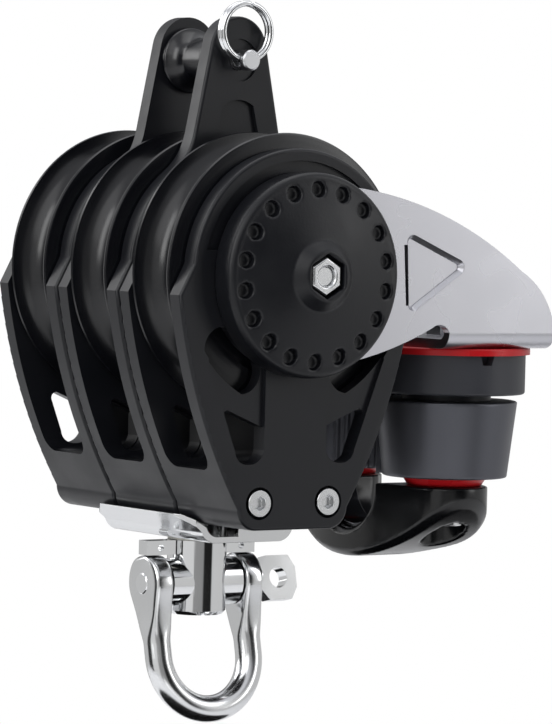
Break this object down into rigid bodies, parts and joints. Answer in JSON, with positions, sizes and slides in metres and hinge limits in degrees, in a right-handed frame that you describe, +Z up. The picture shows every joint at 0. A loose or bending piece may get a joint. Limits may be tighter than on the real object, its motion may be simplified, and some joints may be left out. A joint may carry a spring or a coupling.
{
  "type": "triple pulley block with cam cleat",
  "caption": "Ball-bearing triple sailing block with a becket, a swivel shackle, and a side arm carrying a cam cleat with a fairlead.",
  "frame": {"origin": "centre of the middle sheave, on the axle", "axes": "+X towards the cam cleat, +Y along the axle to the far cheek, +Z up to the becket"},
  "size_m": [0.0955, 0.0904, 0.1493],
  "materials": {
    "shell_nylon": "glass-filled nylon, moulded satin",
    "cap_nylon": "glass-filled nylon, moulded satin",
    "sheave_acetal": "moulded acetal, smooth",
    "hub_metal": "hard anodised",
    "ball_plastic": "ground acetal balls",
    "stainless": "tumbled and polished stainless sheet and bar",
    "polished_steel": "electropolished stainless forging",
    "fastener_steel": "stainless fasteners, plain",
    "spring_steel": "drawn wire",
    "red_plastic": "moulded, smooth",
    "cleat_grey": "moulded, satin",
    "cam_metal": "hard anodised, matt",
    "fairlead_black": "moulded, glossy",
    "washer_plastic": "plain plastic washer"
  },
  "bodies": {
    "block": {"near_bay_shell": "shell_nylon", "middle_bay_shell": "shell_nylon", "far_bay_shell": "shell_nylon", "near_hub": "hub_metal", "middle_hub": "hub_metal", "far_hub": "hub_metal", "near_bearing_balls": "ball_plastic", "middle_bearing_balls": "ball_plastic", "far_bearing_balls": "ball_plastic", "axle_tube": "stainless", "foot_screws": "fastener_steel", "foot_nuts": "fastener_steel", "anchor_block": "stainless", "hanger_strap": "stainless", "strap_rivets": "fastener_steel", "swivel_washer": "washer_plastic", "clevis_pin": "stainless"},
    "near_wheel": {"near_sheave": "sheave_acetal"},
    "middle_wheel": {"middle_sheave": "sheave_acetal"},
    "far_wheel": {"far_sheave": "sheave_acetal"},
    "spool": {"becket_spool": "sheave_acetal"},
    "ring": {"split_ring": "polished_steel"},
    "arm": {"axle_bolt": "fastener_steel", "axle_nut": "fastener_steel", "near_cap": "cap_nylon", "far_cap": "cap_nylon", "cleat_arm": "stainless", "cleat_gasket": "red_plastic", "cleat_base": "cleat_grey", "cam_bushes": "stainless", "near_cam_cap": "red_plastic", "far_cam_cap": "red_plastic", "cleat_screws": "fastener_steel", "cleat_nuts": "fastener_steel", "near_cam_spring": "spring_steel", "far_cam_spring": "spring_steel", "fairlead": "fairlead_black", "fairlead_liner": "stainless"},
    "near_jaw": {"near_cam": "cam_metal"},
    "far_jaw": {"far_cam": "cam_metal"},
    "swivel": {"swivel_post": "polished_steel"},
    "shackle": {"shackle_bow": "polished_steel", "shackle_pin": "polished_steel"}
  },
  "joints": [
    {"name": "near_sheave_spin", "type": "hinge", "parent": "block", "child": "near_wheel", "pos_m": [0, -0.0234, 0], "axis": [0, 1, 0], "continuous": true},
    {"name": "middle_sheave_spin", "type": "hinge", "parent": "block", "child": "middle_wheel", "pos_m": [0, 0, 0], "axis": [0, 1, 0], "continuous": true},
    {"name": "far_sheave_spin", "type": "hinge", "parent": "block", "child": "far_wheel", "pos_m": [0, 0.0234, 0], "axis": [0, 1, 0], "continuous": true},
    {"name": "spool_spin", "type": "hinge", "parent": "block", "child": "spool", "pos_m": [0, 0, 0.0432], "axis": [0, 1, 0], "continuous": true},
    {"name": "ring_flip", "type": "hinge", "parent": "block", "child": "ring", "pos_m": [0, -0.01345, 0.0432], "axis": [1, 0, 0], "range_deg": [0, 170]},
    {"name": "arm_tilt", "type": "hinge", "parent": "block", "child": "arm", "pos_m": [0, 0, 0], "axis": [0, -1, 0], "range_deg": [-5, 75]},
    {"name": "near_cam_open", "type": "hinge", "parent": "arm", "child": "near_jaw", "pos_m": [0.0495, -0.019, -0.035], "axis": [0, 0, -1], "range_deg": [0, 45], "stiffness_Nm_per_rad": 0.02, "springref_deg": -34.38},
    {"name": "far_cam_open", "type": "hinge", "parent": "arm", "child": "far_jaw", "pos_m": [0.0495, 0.019, -0.035], "axis": [0, 0, 1], "range_deg": [0, 45], "stiffness_Nm_per_rad": 0.02, "springref_deg": -34.38},
    {"name": "swivel_turn", "type": "hinge", "parent": "block", "child": "swivel", "pos_m": [0, 0, -0.06], "axis": [0, 0, 1], "continuous": true},
    {"name": "shackle_swing", "type": "hinge", "parent": "swivel", "child": "shackle", "pos_m": [0, 0, -0.0651], "axis": [1, 0, 0], "range_deg": [-77, 103]}
  ]
}
